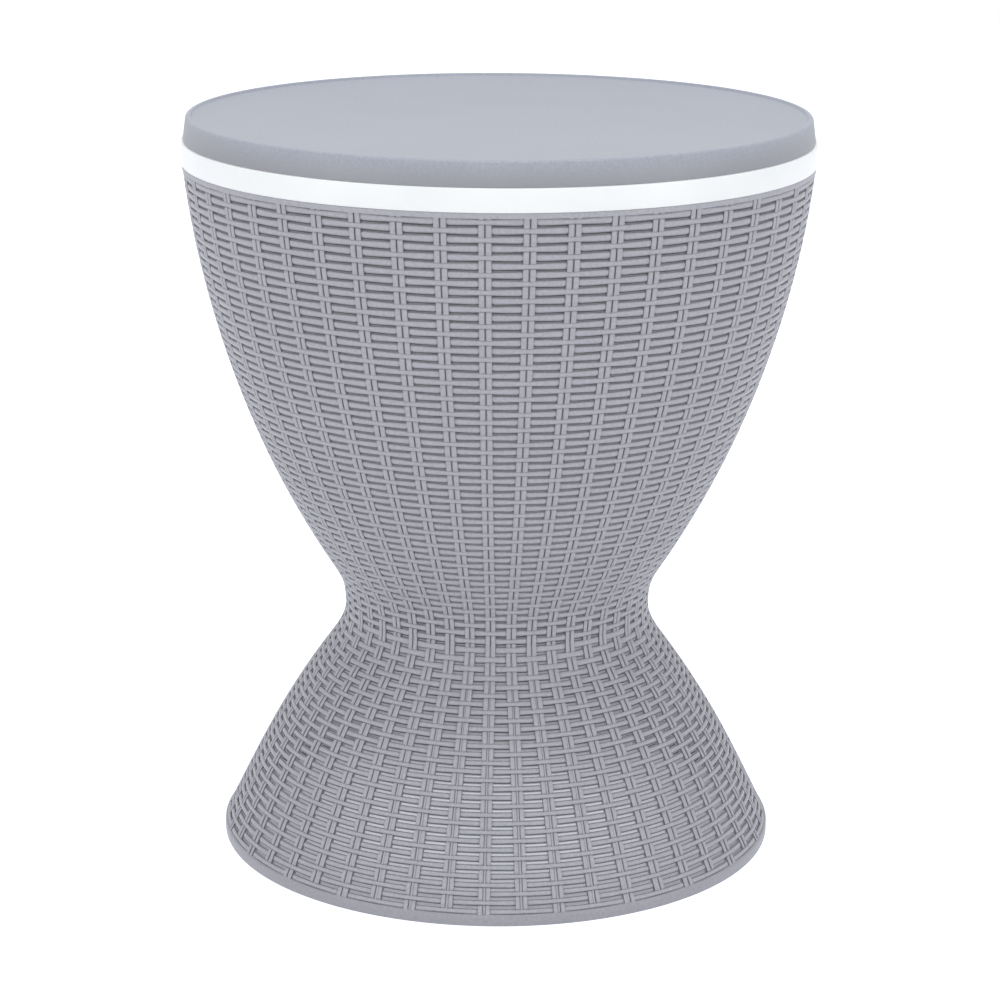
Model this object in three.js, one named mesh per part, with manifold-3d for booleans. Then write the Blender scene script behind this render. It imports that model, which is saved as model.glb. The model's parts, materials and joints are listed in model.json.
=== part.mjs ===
// Ice bucket coffee table: a woven resin stand, an ice bucket in its upper half, a light ring at the rim,
// and a table top that is the bucket's lid and rises on a post in the middle.
// Millimetres, +Z up. The origin is on the floor, under the middle of the table. The front is towards -Y.
import * as THREE from "three";
import { mergeVertices } from "three/addons/utils/BufferGeometryUtils.js";
import Module from "manifold-3d";

const wasm = await Module();
wasm.setup();

// Clearances
const seatGap = 0.3; // between faces that rest on each other, and round screws in their holes
const slideGap = 0.4; // radial gap of a piece that slides or turns in another
const stopGap = 0.5; // left between two stops at the end of a travel
const overrun = 1; // how far a cutter runs past the face that it opens

// Sides of the round pieces
const bodySides = 48;
const tubeSides = 24;
const smallSides = 16;
const screwSides = 8;
const wallSides = 24; // inner sides of bowl and skirt, and the openings at the waist

// Stand and bowl
const ringRadius = 250; // the widest place: rim, lid and the bucket's mouth follow it
const baseRadius = 225.7;
const hoopHeight = 9;
const hoopStep = 1.1;
const hoopThickness = 6.5;
const waistRadius = 124.1;
const seamHeight = 192;
const rimStep = 0.7; // from the light ring in to the rim
const outlineTop = 553;
const rimStripHeight = 2.8;
const shellWall = 4.5;
const shellFlangeThickness = 4;
const waistFlangeWidth = 28.1;
const ledgeWidth = 24;

// Outlines of bowl and skirt as shares of the way from the waist to the rim or to the hoop: radius, height
const bowlFilletShares = [[0, 0], [0.004, 0.079], [0.055, 0.076], [0.238, 0.188]];
const bowlFlareShares = [[0.238, 0.188], [0.8035, 0.527], [0.958, 0.855], [1, 1]];
const skirtFilletShares = [[0, 0], [0, 0.0803], [0.1134, 0.161], [0.167, 0.201]];
const skirtSideShares = [[0.167, 0.201], [0.597, 0.5235], [0.783, 0.765], [1, 1]];
const filletSteps = 3;
const sideSteps = 5;

// Weave of bowl and skirt: an upright ridge at each pair of stakes, and a hollow between two pairs
const ridgeCount = 48;
const ridgeDepth = 2;
const ridgeTurn = 0.0289 * Math.PI; // from the middle of the front to the first pair
const rimStripStep = 0.4; // from the rim's plain strip in to the weave

// Light ring
const ringHeight = 17.6;
const ringWall = 2.5;
const ringTopThickness = 2;
const ringTopWidth = 19;
const carrierInset = 10.5; // from the ring's outer face in to the carrier's
const carrierWall = 3;
const carrierWidth = 11.5;
const carrierThickness = 3;
const stripThickness = 1.2;
const stripMargin = 0.8;
const lightCount = 12;
const lightSize = 5;
const lightHeight = 1.6;

// Lid
const lidStep = 1.7; // from the light ring in to the lid
const lidFlare = 2.6;
const lidHeight = 18.9;
const lidWall = 3;
const lidEdgeRadius = 1.6;
const lipWidth = 4.6;
const lipHeight = 2;
const lipSlope = 0.8;
const lidEdgeSteps = 2;
const lidBaseThickness = 3;
const lidBaseGap = 1.2;
const centringGap = 6; // between the bucket's mouth and the ring that centres the lid in it
const centringWall = 3;
const centringDepth = 10.5;
const foamGap = 3;

// Ice bucket
const mouthInset = 28; // from the light ring in to the bucket's mouth
const bucketWall = 3;
const bucketFlangeInset = 10;
const bucketDepthShare = 0.6075; // of the bowl's height
const bucketFloorShare = 0.2646; // of the way from the waist out to the mouth
const bucketCorner = 22;
const bucketSideShares = [[0, 0], [0.46, 0.24], [0.98, 0.59], [1, 1]];
const bucketSteps = 5;
const columnRadius = 40;
const columnDrop = 10.8; // how far the guide tube's mouth lies below the rim

// Drain
const drainCircleShare = 0.8; // of the floor's radius
const drainAngle = -0.75 * Math.PI;
const drainRadius = 9;
const drainStemLength = 12;
const drainTaper = 0.9;
const drainHeadRadius = 15;
const drainHeadThickness = 3;
const drainGripLength = 22;
const drainGripWidth = 4;
const drainGripHeight = 9;
const sealWidth = 4.3;
const sealThickness = 2;

// Post and guide tube
const postRadius = 25;
const postWall = 3;
const tubeBore = 31;
const tubeWall = 5;
const tubeFootRadius = 54;
const tubeFootThickness = 5;
const shelfThickness = 6;
const lugReach = 4.8;
const lugWidth = 9;
const lugHeight = 8;
const notchSpare = 1;
const shoeHeight = 14;
const keyWidth = 7.4;
const keyReach = 2.2;
const beadHeight = 2;
const beadReach = 1.5;
const postCapThickness = 3.2;
const postCapReach = 3;
const postCapPlugLength = 10;
const footClearance = 3; // between the post's cap and the plate at the waist
const bushLength = 56.25;
const bushFlangeRadius = 44;
const bushFlangeThickness = 3.5;
const postFlangeRadius = 58;
const postFlangeThickness = 4;
const postSocketWall = 5.6;
const postSocketClearance = 1.9; // between the lid's socket and the bush when the lid is down
const pinRadius = 2.5;
const pinDrop = 12; // from the lid's underside to the pin's axis

// Plate at the waist
const hubInset = 8.1; // from the waist's outside in to the plate's edge
const hubThickness = 4;
const hubHoleRadius = 29;
const hubWindowMargin = 4; // from the tube's foot and the waist's flange to the plate's windows
const hubSpokeWidth = 18;

// Screws
const screwHeadRadius = 4;
const screwHeadHeight = 2.6;
const screwShankRadius = 2;
const bossRadius = 6;
const bossFloor = 1.5; // material left above the end of a blind hole
const waistScrewCount = 6;
const waistScrewInset = 17.1;
const waistBossHeight = 12;
const hubScrewCount = 4;
const hubScrewCircle = 46;
const tubeBossHeight = 12;
const rimScrewCount = 6;
const rimScrewInset = 18;
const rimBossRadius = 5;
const rimBossHeight = 9;
const lidScrewCount = 6;
const lidScrewInset = 11; // from the centring ring in to the screws
const flangeScrewCount = 4;
const flangeScrewCircle = 46;
const flangeBossHeight = 8;

// Battery case, inside the bucket's mouth at the back
const cellRadius = 7.1;
const cellLength = 48;
const cellTipRadius = 2.6;
const cellTipLength = 1.6;
const cellCount = 3;
const cellSpare = 0.6;
const contactThickness = 0.8;
const contactMargin = 1.2;
const caseWall = 2;
const caseDepthSpare = 0.8;
const caseBackInset = 9; // from the bucket's mouth to the case's flat back
const hookWidth = 24;
const hookReach = 4; // how far the hook lies on the bucket's flange
const hookThickness = 3;
const doorThickness = 2;
const doorGripWidth = 20;
const doorGripHeight = 4;
const doorGripReach = 2;
const switchWidth = 13.4;
const switchDepth = 11.4;
const switchHeight = 7;
const switchBore = 4;
const buttonTravel = 2;
const buttonRadius = 5;
const buttonCapHeight = 3;
const buttonProud = 0.8;
const buttonEdge = 0.6;
const leadRadius = 1.2;
const leadSlotWidth = 4;

// Radii that follow from these
const rimRadius = ringRadius - rimStep;
const ledgeRadius = ringRadius - ledgeWidth;
const ringInnerRadius = ringRadius - ringTopWidth;
const carrierOuterRadius = ringRadius - carrierInset;
const carrierFlangeRadius = carrierOuterRadius - carrierWidth;
const rimScrewCircle = ringRadius - rimScrewInset;
const mouthRadius = ringRadius - mouthInset;
const bucketFlangeRadius = ringRadius - bucketFlangeInset;
const lidRadius = ringRadius - lidStep;
const lidTopRadius = lidRadius - lidFlare;
const centringRadius = mouthRadius - centringGap;
const lidScrewCircle = centringRadius - lidScrewInset;
const foamRadius = lidScrewCircle - bossRadius - foamGap;
const hubRadius = waistRadius - hubInset;
const waistFlangeRadius = waistRadius - waistFlangeWidth;
const waistScrewCircle = waistRadius - waistScrewInset;
const bucketFloorRadius = waistRadius + (mouthRadius - waistRadius) * bucketFloorShare;
const drainCircle = bucketFloorRadius * drainCircleShare;
const screwHole = screwShankRadius + seatGap;
const postBore = postRadius + slideGap;
const bushRadius = tubeBore - slideGap;
const columnBore = columnRadius - bucketWall;
const tubeRadius = tubeBore + tubeWall;
const stripInnerRadius = carrierOuterRadius + seatGap;

// Heights, from the floor up
const skirtTop = seamHeight - seatGap / 2;
const bowlBottom = seamHeight + seatGap / 2;
const bowlFlangeTop = bowlBottom + shellFlangeThickness;
const skirtFlangeBottom = skirtTop - shellFlangeThickness;
const rimTop = outlineTop + rimStripHeight;
const ledgeBottom = rimTop - shellFlangeThickness;
const ringBottom = rimTop + seatGap;
const ringTop = ringBottom + ringHeight;
const lidBottom = ringTop + seatGap;
const lidTop = lidBottom + lidHeight;
const lidSkinBottom = lidTop - lipHeight - lidWall;
const lidBaseTop = lidBottom + lidBaseThickness;
const bucketFlangeTop = ringBottom + bucketWall;
const bucketFloorTop = bucketFlangeTop - (rimTop - seamHeight) * bucketDepthShare;
const bucketFloorBottom = bucketFloorTop - bucketWall;
const carrierBottom = bucketFlangeTop + seatGap;
const carrierFlangeTop = carrierBottom + carrierThickness;
const ringTopBottom = ringTop - ringTopThickness;
const hubBottom = bowlFlangeTop + seatGap;
const hubTop = hubBottom + hubThickness;
const tubeBottom = hubTop + seatGap;
const tubeTop = rimTop - columnDrop;
const capBottom = hubTop + footClearance;
const capTop = capBottom + postCapThickness;
const postBottom = capTop + seatGap;
const shoeTop = postBottom + shoeHeight;
const beadTop = shoeTop + seatGap + beadHeight;
const bushBottom = tubeTop - bushLength;
const shelfTop = bushBottom - lugHeight - 2 * stopGap;
const shelfBottom = shelfTop - shelfThickness;
const liftTravel = shelfBottom - stopGap - beadTop;
const lugBottom = shelfTop - liftTravel + stopGap;
const lugTop = lugBottom + lugHeight;
const columnLipBottom = tubeTop + seatGap;
const columnLipTop = columnLipBottom + bucketWall;
const bushFlangeBottom = columnLipTop + seatGap;
const bushTop = bushFlangeBottom + bushFlangeThickness;
const postFlangeTop = lidBottom - seatGap;
const postFlangeBottom = postFlangeTop - postFlangeThickness;
const socketBottom = bushTop + postSocketClearance;
const postTop = postFlangeTop;

// Screw circles: count and radius
const waistScrews = [waistScrewCount, waistScrewCircle];
const hubScrews = [hubScrewCount, hubScrewCircle];
const rimScrews = [rimScrewCount, rimScrewCircle];
const lidScrews = [lidScrewCount, lidScrewCircle];
const flangeScrews = [flangeScrewCount, flangeScrewCircle];

// Materials

function finish(color, roughness, metalness = 0) {
  return new THREE.MeshStandardMaterial({ color, roughness, metalness });
}

const wovenResin = () => finish(0xa6a6ae, 0.6);
const lidResin = () => finish(0xb4b8c2, 0.5);
const plainResin = () => finish(0x9a9ba3, 0.55);
const bucketResin = () => finish(0xc6c8cc, 0.35);
const lightWhite = () => finish(0xf8fbfb, 0.3);
const stripWhite = () => finish(0xe8e8e0, 0.6);
const foam = () => finish(0xf2f2ee, 0.9);
const steel = () => finish(0xb0b2b5, 0.3, 1);
const seal = () => finish(0x2c2d30, 0.8);
const cellWrap = () => finish(0x2f4a5c, 0.35);
const contactMetal = () => finish(0xc9c3b0, 0.3, 1);
const darkResin = () => finish(0x55575c, 0.5);

// Solids

function solidOf(geometry) {
  const bare = geometry.index ? geometry.toNonIndexed() : geometry.clone();
  bare.deleteAttribute("normal");
  bare.deleteAttribute("uv");
  const merged = mergeVertices(bare);
  return new wasm.Manifold(new wasm.Mesh({
    numProp: 3,
    vertProperties: merged.attributes.position.array,
    triVerts: new Uint32Array(merged.index.array),
  }));
}

function geometryOf(solid) {
  const mesh = solid.getMesh();
  const geometry = new THREE.BufferGeometry();
  geometry.setAttribute("position", new THREE.BufferAttribute(mesh.vertProperties, mesh.numProp));
  geometry.setIndex(new THREE.BufferAttribute(mesh.triVerts, 1));
  const faceted = geometry.toNonIndexed();
  faceted.computeVertexNormals();
  return faceted;
}

// Joins what is in `added` to the first geometry, and cuts what is in `removed` out of both.
function shape(first, added, removed) {
  let solid = solidOf(first);
  for (const geometry of added) {
    solid = solid.add(solidOf(geometry));
  }
  for (const geometry of removed) {
    solid = solid.subtract(solidOf(geometry));
  }
  return geometryOf(solid);
}

const at = (radius, height) => new THREE.Vector2(radius, height);

// A profile turned round the Z axis: up its outer side and down its inner side, as a loop unless open.
function turned(profile, sides, open = false) {
  const points = open ? profile : [...profile, profile[0]];
  return new THREE.LatheGeometry(points, sides).rotateX(Math.PI / 2);
}

// A ring with a square section
function ring(inner, outer, low, high, sides) {
  return turned([at(outer, low), at(outer, high), at(inner, high), at(inner, low)], sides);
}

// An upright rod
function rod(radius, low, high, sides, x = 0, y = 0) {
  const geometry = new THREE.CylinderGeometry(radius, radius, high - low, sides);
  return geometry.rotateX(Math.PI / 2).translate(x, y, (low + high) / 2);
}

// A box by its lowest and highest corners
function block(low, high) {
  const geometry = new THREE.BoxGeometry(high[0] - low[0], high[1] - low[1], high[2] - low[2]);
  return geometry.translate((low[0] + high[0]) / 2, (low[1] + high[1]) / 2, (low[2] + high[2]) / 2);
}

// Angles of `count` places round the Z axis
function round(count, start = 0) {
  return Array.from({ length: count }, (_, i) => start + (i * 2 * Math.PI) / count);
}

// Upright rods on a circle
function rods(count, circle, radius, low, high, sides, start = 0) {
  return round(count, start).map((angle) =>
    rod(radius, low, high, sides, circle * Math.cos(angle), circle * Math.sin(angle)));
}

// Bosses and holes of one circle of screws, given as its count and its radius

const bosses = (screws, radius, low, high) => rods(...screws, radius, low, high, screwSides);

const throughHoles = (screws, low, high) =>
  rods(...screws, screwHole, low - overrun, high + overrun, screwSides);

const blindHoles = (screws, low, high) =>
  rods(...screws, screwHole, low - overrun, high - bossFloor, screwSides);

// Outlines: lists of points from low to high

function curve(shares, place, steps) {
  const [start, first, second, end] = shares.map(([radius, height]) => place(radius, height));
  return new THREE.CubicBezierCurve(start, first, second, end).getPoints(steps);
}

function inset(outline, distance) {
  return outline.map((point, i) => {
    const before = outline[Math.max(i - 1, 0)];
    const after = outline[Math.min(i + 1, outline.length - 1)];
    const along = after.clone().sub(before).normalize();
    return at(point.x - along.y * distance, point.y + along.x * distance);
  });
}

function radiusAt(outline, height) {
  const i = Math.max(1, outline.findIndex((point) => point.y >= height));
  const [low, high] = [outline[i - 1], outline[i]];
  return low.x + ((high.x - low.x) * (height - low.y)) / (high.y - low.y);
}

// The stretch of an outline between two heights, without points right beside its ends
function between(outline, low, high) {
  const inside = outline.filter((point) => point.y > low + overrun && point.y < high - overrun);
  return [at(radiusAt(outline, low), low), ...inside, at(radiusAt(outline, high), high)];
}

const bowlRadius = rimRadius - rimStripStep;
const bowlPlace = (radius, height) =>
  at(waistRadius + (bowlRadius - waistRadius) * radius, seamHeight + (outlineTop - seamHeight) * height);
const skirtRadius = baseRadius - hoopStep;
const skirtPlace = (radius, height) =>
  at(waistRadius + (skirtRadius - waistRadius) * radius, seamHeight - (seamHeight - hoopHeight) * height);

const bowlOutline = [
  ...curve(bowlFilletShares, bowlPlace, filletSteps),
  ...curve(bowlFlareShares, bowlPlace, sideSteps).slice(1),
];
const skirtOutline = [
  ...curve(skirtFilletShares, skirtPlace, filletSteps),
  ...curve(skirtSideShares, skirtPlace, sideSteps).slice(1),
].reverse();

// Stand

// The solid inside an outline, with the weave's ridges on the outline and its hollows between them
function ridged(outline) {
  const profile = [at(0, outline[0].y), ...outline, at(0, outline[outline.length - 1].y)];
  const geometry = new THREE.LatheGeometry(profile, 2 * ridgeCount);
  const place = geometry.attributes.position;
  for (let side = 1; side < 2 * ridgeCount; side += 2) {
    outline.forEach((point, i) => {
      const n = side * profile.length + i + 1;
      const share = 1 - ridgeDepth / point.x;
      place.setXYZ(n, place.getX(n) * share, place.getY(n), place.getZ(n) * share);
    });
  }
  return geometry.rotateX(Math.PI / 2).rotateZ(ridgeTurn);
}

function skirtShell() {
  const hoopInner = baseRadius - hoopThickness;
  const hoop = turned([
    at(0, 0),
    at(baseRadius, 0),
    at(baseRadius, hoopHeight - hoopStep),
    at(baseRadius - hoopStep / 2, hoopHeight),
    at(0, hoopHeight),
  ], bodySides, true).rotateZ(ridgeTurn);
  const room = turned([
    at(0, -overrun),
    at(hoopInner, -overrun),
    at(hoopInner, hoopHeight),
    ...between(inset(skirtOutline, shellWall), hoopHeight + hoopThickness, skirtFlangeBottom),
    at(0, skirtFlangeBottom),
  ], wallSides, true).rotateZ(ridgeTurn);
  const passage = rod(waistFlangeRadius, skirtFlangeBottom - overrun, skirtTop + overrun, wallSides);
  const weave = ridged(between(skirtOutline, hoopHeight, skirtTop));
  const holes = throughHoles(waistScrews, skirtFlangeBottom, skirtTop);
  return shape(weave, [hoop], [room, passage, ...holes]);
}

function bowlShell() {
  const strip = rod(rimRadius, outlineTop, rimTop, bodySides).rotateZ(ridgeTurn);
  const room = turned([
    at(0, bowlFlangeTop),
    ...between(inset(bowlOutline, shellWall), bowlFlangeTop, ledgeBottom),
    at(0, ledgeBottom),
  ], wallSides, true).rotateZ(ridgeTurn);
  const mouth = rod(ledgeRadius, ledgeBottom - overrun, rimTop + overrun, bodySides);
  const passage = rod(waistFlangeRadius, bowlBottom - overrun, bowlFlangeTop + overrun, wallSides);
  const weave = ridged(between(bowlOutline, bowlBottom, outlineTop));
  const shell = shape(weave, [strip], [room, mouth, passage]);
  const bossBottom = ledgeBottom - rimBossHeight;
  return shape(shell, bosses(rimScrews, rimBossRadius, bossBottom, ledgeBottom + overrun), [
    ...rods(...rimScrews, screwHole, bossBottom + bossFloor, rimTop + overrun, screwSides),
    ...throughHoles(waistScrews, bowlBottom, bowlFlangeTop),
  ]);
}

// The plate's windows: a ring between the tube's foot and the waist's flange, without four spokes
function hubWindows() {
  const low = hubBottom - overrun;
  const high = hubTop + overrun;
  const inner = tubeFootRadius + hubWindowMargin;
  const outer = waistFlangeRadius - hubWindowMargin;
  const half = hubSpokeWidth / 2;
  return shape(ring(inner, outer, low, high, wallSides), [], [
    block([-hubRadius, -half, low - overrun], [hubRadius, half, high + overrun]),
    block([-half, -hubRadius, low - overrun], [half, hubRadius, high + overrun]),
  ]);
}

function waistHub() {
  const bossTop = hubTop + waistBossHeight;
  const plate = ring(hubHoleRadius, hubRadius, hubBottom, hubTop, bodySides);
  return shape(plate, bosses(waistScrews, bossRadius, hubTop - overrun, bossTop), [
    ...blindHoles(waistScrews, hubBottom, bossTop),
    ...throughHoles(hubScrews, hubBottom, hubTop),
    hubWindows(),
  ]);
}

function guideTube() {
  const footTop = tubeBottom + tubeFootThickness;
  const profile = [
    at(tubeFootRadius, tubeBottom),
    at(tubeFootRadius, footTop),
    at(tubeRadius, footTop),
    at(tubeRadius, tubeTop),
    at(tubeBore, tubeTop),
    at(tubeBore, shelfTop),
    at(postBore, shelfTop),
    at(postBore, shelfBottom),
    at(tubeBore, shelfBottom),
    at(tubeBore, tubeBottom),
  ];
  const bossTop = tubeBottom + tubeBossHeight;
  const grooveReach = bushRadius + keyReach + slideGap;
  const grooveHalf = keyWidth / 2 + slideGap;
  const notchHalf = lugWidth / 2 + notchSpare;
  const grooves = block(
    [-grooveReach, -grooveHalf, tubeBottom - overrun],
    [grooveReach, grooveHalf, shelfBottom],
  );
  const notches = block(
    [-tubeBore, -notchHalf, shelfBottom - overrun],
    [tubeBore, notchHalf, shelfTop + overrun],
  );
  return shape(turned(profile, tubeSides), bosses(hubScrews, bossRadius, tubeBottom, bossTop), [
    ...blindHoles(hubScrews, tubeBottom, bossTop),
    grooves,
    notches,
  ]);
}

function topBush() {
  return turned([
    at(bushRadius, bushBottom),
    at(bushRadius, bushFlangeBottom),
    at(bushFlangeRadius, bushFlangeBottom),
    at(bushFlangeRadius, bushTop),
    at(postBore, bushTop),
    at(postBore, bushBottom),
  ], tubeSides);
}

// Ice bucket

function iceBucket() {
  const drainHole = rod(drainRadius, bucketFloorBottom - overrun, bucketFloorTop + overrun,
    smallSides, drainCircle * Math.cos(drainAngle), drainCircle * Math.sin(drainAngle));
  const wallBottom = bucketFloorBottom + bucketCorner;
  const mouthOuter = mouthRadius + bucketWall;
  const cornerRadius = bucketFloorRadius + bucketCorner;
  const place = (radius, height) =>
    at(cornerRadius + (mouthOuter - cornerRadius) * radius, wallBottom + (ringBottom - wallBottom) * height);
  const corner = new THREE.QuadraticBezierCurve(
    at(bucketFloorRadius, bucketFloorBottom),
    at(cornerRadius - bucketWall, bucketFloorBottom + bucketWall),
    at(cornerRadius, wallBottom),
  ).getPoints(2);
  const side = curve(bucketSideShares, place, bucketSteps).slice(1);
  const outer = [...corner, ...side];
  const inner = inset(outer, bucketWall);
  const innerSide = inner.slice(1, -1).reverse();
  const profile = [
    at(bucketFlangeRadius, ringBottom),
    at(bucketFlangeRadius, bucketFlangeTop),
    at(mouthRadius, bucketFlangeTop),
    ...innerSide,
    at(bucketFloorRadius, bucketFloorTop),
    at(columnRadius, bucketFloorTop),
    at(columnRadius, columnLipTop),
    at(bushRadius + slideGap, columnLipTop),
    at(bushRadius + slideGap, columnLipBottom),
    at(columnBore, columnLipBottom),
    at(columnBore, bucketFloorBottom),
    ...outer,
  ];
  const screwHoles = throughHoles(rimScrews, ringBottom, bucketFlangeTop);
  return shape(turned(profile, bodySides), [], [drainHole, ...screwHoles]);
}

// The drain's pieces stand on their own axis, with zero at the bucket's floor.
function drainSeal() {
  return ring(drainRadius, drainRadius + sealWidth, seatGap, seatGap + sealThickness, smallSides);
}

function drainPlug() {
  const headBottom = seatGap + sealThickness + seatGap;
  const headTop = headBottom + drainHeadThickness;
  const stem = drainRadius - slideGap;
  const body = turned([
    at(0, -drainStemLength),
    at(stem - drainTaper, -drainStemLength),
    at(stem, -bucketWall),
    at(stem, headBottom),
    at(drainHeadRadius, headBottom),
    at(drainHeadRadius, headTop),
    at(0, headTop),
  ], smallSides, true);
  const grip = block(
    [-drainGripLength / 2, -drainGripWidth / 2, headTop - overrun],
    [drainGripLength / 2, drainGripWidth / 2, headTop + drainGripHeight],
  );
  return shape(body, [grip], []);
}

// Light ring

function lightRing() {
  return turned([
    at(ringRadius, ringBottom),
    at(ringRadius, ringTop),
    at(ringInnerRadius, ringTop),
    at(ringInnerRadius, ringTopBottom),
    at(ringRadius - ringWall, ringTopBottom),
    at(ringRadius - ringWall, ringBottom),
  ], bodySides);
}

function ledCarrier() {
  const wallInner = carrierOuterRadius - carrierWall;
  const body = turned([
    at(carrierOuterRadius, carrierBottom),
    at(carrierOuterRadius, ringTopBottom - seatGap),
    at(wallInner, ringTopBottom - seatGap),
    at(wallInner, carrierFlangeTop),
    at(carrierFlangeRadius, carrierFlangeTop),
    at(carrierFlangeRadius, carrierBottom),
  ], bodySides);
  const leadSlot = block(
    [-leadSlotWidth / 2, carrierFlangeRadius - overrun - carrierWall, carrierBottom - overrun],
    [leadSlotWidth / 2, carrierOuterRadius + overrun, carrierFlangeTop + overrun],
  );
  return shape(body, [], [...throughHoles(rimScrews, carrierBottom, carrierFlangeTop), leadSlot]);
}

function ledStrip() {
  const low = carrierBottom + stripMargin;
  const high = ringTopBottom - seatGap - stripMargin;
  const outer = stripInnerRadius + stripThickness;
  const middle = (low + high) / 2;
  const lights = round(lightCount, Math.PI / lightCount).map((angle) =>
    block(
      [stripInnerRadius, -lightSize / 2, middle - lightSize / 2],
      [outer + lightHeight, lightSize / 2, middle + lightSize / 2],
    ).rotateZ(angle));
  return shape(ring(stripInnerRadius, outer, low, high, bodySides), lights, []);
}

// Lid

function lidTopShell() {
  const lipInner = lidTopRadius - lipWidth;
  const skinInner = lidTopRadius - lidWall - lipSlope;
  const side = (height) => lidRadius + ((lidTopRadius - lidRadius) * (height - lidBottom)) / lidHeight;
  const edgeLow = lidTop - lidEdgeRadius;
  const edge = new THREE.QuadraticBezierCurve(
    at(side(edgeLow), edgeLow),
    at(side(lidTop), lidTop),
    at(side(lidTop) - lidEdgeRadius, lidTop),
  ).getPoints(lidEdgeSteps);
  const profile = [
    at(0, lidSkinBottom),
    at(skinInner, lidSkinBottom),
    at(lidRadius - lidWall, lidBottom),
    at(lidRadius, lidBottom),
    ...edge,
    at(lipInner + lipSlope, lidTop),
    at(lipInner, lidTop - lipHeight),
    at(0, lidTop - lipHeight),
  ];
  const bossBottom = lidBaseTop + seatGap;
  const skinBosses = bosses(lidScrews, bossRadius, bossBottom, lidSkinBottom + overrun);
  const skinHoles = blindHoles(lidScrews, bossBottom, lidSkinBottom);
  return shape(turned(profile, bodySides, true), skinBosses, skinHoles);
}

function lidBase() {
  const radius = lidRadius - lidWall - lidBaseGap;
  const disc = rod(radius, lidBottom, lidBaseTop, bodySides);
  const centring = ring(centringRadius - centringWall, centringRadius,
    lidBottom - centringDepth, lidBottom + lidBaseThickness / 2, bodySides);
  const bossTop = lidBaseTop + flangeBossHeight;
  return shape(disc, [centring, ...bosses(flangeScrews, bossRadius, lidBaseTop - overrun, bossTop)], [
    ...throughHoles(lidScrews, lidBottom, lidBaseTop),
    ...blindHoles(flangeScrews, lidBottom, bossTop),
  ]);
}

function lidFoam() {
  const low = lidBaseTop + seatGap;
  const high = lidSkinBottom - seatGap;
  const bossHoles = bosses(flangeScrews, bossRadius + slideGap, low - overrun, high + overrun);
  return shape(rod(foamRadius, low, high, bodySides), [], bossHoles);
}

// Post

// A rod along Y through the post at the pin's height
function crossRod(radius, length) {
  return new THREE.CylinderGeometry(radius, radius, length, smallSides).translate(0, 0, lidBottom - pinDrop);
}

function liftPost() {
  const tube = ring(postRadius - postWall, postRadius, postBottom, postTop, tubeSides);
  const bead = ring(postRadius - postWall / 2, postRadius + beadReach, shoeTop + seatGap, beadTop, tubeSides);
  const lugs = [-1, 1].map((side) =>
    block(
      [postRadius - postWall / 2, -lugWidth / 2, lugBottom],
      [postRadius + lugReach, lugWidth / 2, lugTop],
    ).rotateZ(side > 0 ? 0 : Math.PI));
  const pinHole = crossRod(pinRadius + seatGap, 2 * postRadius + 2 * overrun);
  return shape(tube, [bead, ...lugs], [pinHole]);
}

function postCap() {
  const plug = postRadius - postWall - seatGap;
  return turned([
    at(0, capBottom),
    at(postRadius + postCapReach, capBottom),
    at(postRadius + postCapReach, capTop),
    at(plug, capTop),
    at(plug, capTop + postCapPlugLength),
    at(0, capTop + postCapPlugLength),
  ], tubeSides, true);
}

function glideShoe() {
  const body = ring(postBore, bushRadius, postBottom, shoeTop, tubeSides);
  const keys = [-1, 1].map((side) =>
    block(
      [bushRadius - slideGap - keyReach, -keyWidth / 2, postBottom],
      [bushRadius + keyReach, keyWidth / 2, shoeTop],
    ).rotateZ(side > 0 ? 0 : Math.PI));
  return shape(body, keys, []);
}

function postFlange() {
  const bore = postRadius + seatGap;
  const body = turned([
    at(bore + postSocketWall, socketBottom),
    at(bore + postSocketWall, postFlangeBottom),
    at(postFlangeRadius, postFlangeBottom),
    at(postFlangeRadius, postFlangeTop),
    at(bore, postFlangeTop),
    at(bore, socketBottom),
  ], tubeSides);
  const pinHole = crossRod(pinRadius + seatGap, 2 * postFlangeRadius);
  return shape(body, [], [...throughHoles(flangeScrews, postFlangeBottom, postFlangeTop), pinHole]);
}

const postPin = () => crossRod(pinRadius, 2 * (postRadius + postSocketWall));

// Screws stand on the underside of their head, and point up.
function screw(length) {
  return turned([
    at(0, -screwHeadHeight),
    at(screwHeadRadius, -screwHeadHeight),
    at(screwHeadRadius, 0),
    at(screwShankRadius, 0),
    at(screwShankRadius, length),
    at(0, length),
  ], screwSides, true);
}

// Battery case. Its pieces are built round the case's own origin: the middle of its back, at its top.
const cellPitch = 2 * cellRadius + cellSpare;
const caseInnerWidth = cellLength + cellTipLength + 2 * (contactThickness + cellSpare);
const caseInnerHeight = cellCount * cellPitch + cellSpare;
const caseInnerDepth = 2 * cellRadius + caseDepthSpare;
const caseWidth = caseInnerWidth + 2 * caseWall;
const caseDepth = caseInnerDepth + caseWall;
const caseTop = carrierFlangeTop;
const caseBack = mouthRadius - caseBackInset;
const buttonBottom = buttonProud - buttonCapHeight;
const switchTop = buttonBottom - buttonTravel - stopGap;
const switchBottom = switchTop - switchHeight;
const cellRoomTop = switchBottom - seatGap - caseWall;
const cellRoomBottom = cellRoomTop - caseInnerHeight;
const caseBottom = cellRoomBottom - caseWall;
const cellRoomMiddle = -caseWall - caseInnerDepth / 2;

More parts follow.
